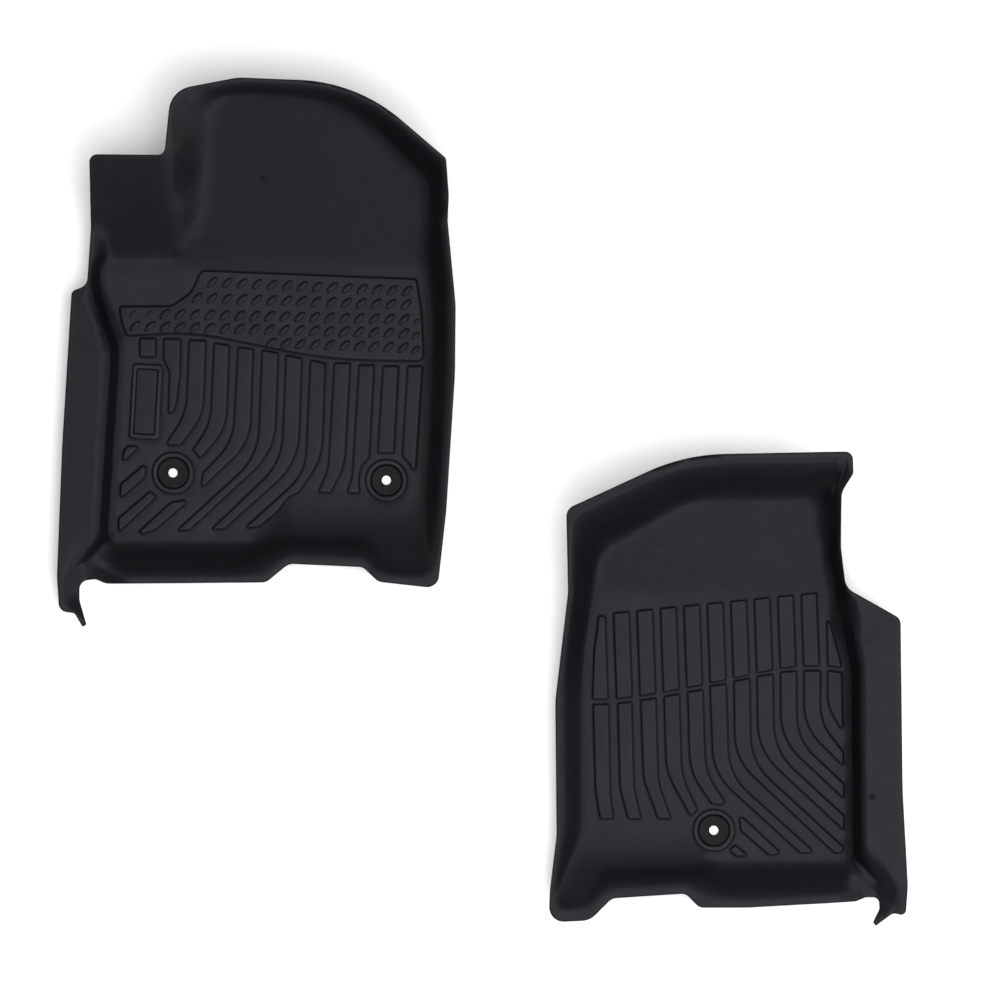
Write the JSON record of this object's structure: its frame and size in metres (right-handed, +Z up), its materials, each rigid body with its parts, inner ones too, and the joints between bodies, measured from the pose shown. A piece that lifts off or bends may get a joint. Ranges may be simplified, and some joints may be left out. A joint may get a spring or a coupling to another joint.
{
  "type": "floor mat set",
  "caption": "Deep-dish moulded front floor liners for a truck, with drainage channels, heel pad, sill flaps and snap-in floor post retainers.",
  "frame": {"origin": "on the ground, under the middle of the set's bounding box, with both mats flat on z = 0", "axes": "+Z up out of the trays, +Y towards the front of the truck, +X towards its right side"},
  "size_m": [1.2738, 1.2667, 0.1463],
  "materials": {
    "liner": "matt moulded thermoplastic elastomer with a fine grain",
    "name_plate": "smooth matt",
    "retainer": "satin moulded plastic"
  },
  "bodies": {
    "driver_mat": {"driver_liner": "liner", "driver_name_plate": "name_plate"},
    "driver_outboard_retainer": {"driver_outboard_retainer_disc": "retainer", "driver_outboard_retainer_ring": "retainer"},
    "driver_inboard_retainer": {"driver_inboard_retainer_disc": "retainer", "driver_inboard_retainer_ring": "retainer"},
    "passenger_mat": {"passenger_liner": "liner"},
    "passenger_centre_retainer": {"passenger_centre_retainer_disc": "retainer", "passenger_centre_retainer_ring": "retainer"}
  },
  "joints": [
    {"name": "driver_outboard_swivel", "type": "hinge", "parent": "driver_mat", "child": "driver_outboard_retainer", "pos_m": [-0.464, 0.04472, 0.003], "axis": [0, 0, 1], "continuous": true},
    {"name": "driver_inboard_swivel", "type": "hinge", "parent": "driver_mat", "child": "driver_inboard_retainer", "pos_m": [-0.144, 0.03372, 0.003], "axis": [0, 0, 1], "continuous": true},
    {"name": "passenger_mat_lift", "type": "slide", "parent": "driver_mat", "child": "passenger_mat", "axis": [0, 0, 1], "range_m": [0, 0.25]},
    {"name": "passenger_centre_swivel", "type": "hinge", "parent": "passenger_mat", "child": "passenger_centre_retainer", "pos_m": [0.347, -0.49128, 0.003], "axis": [0, 0, 1], "continuous": true}
  ]
}
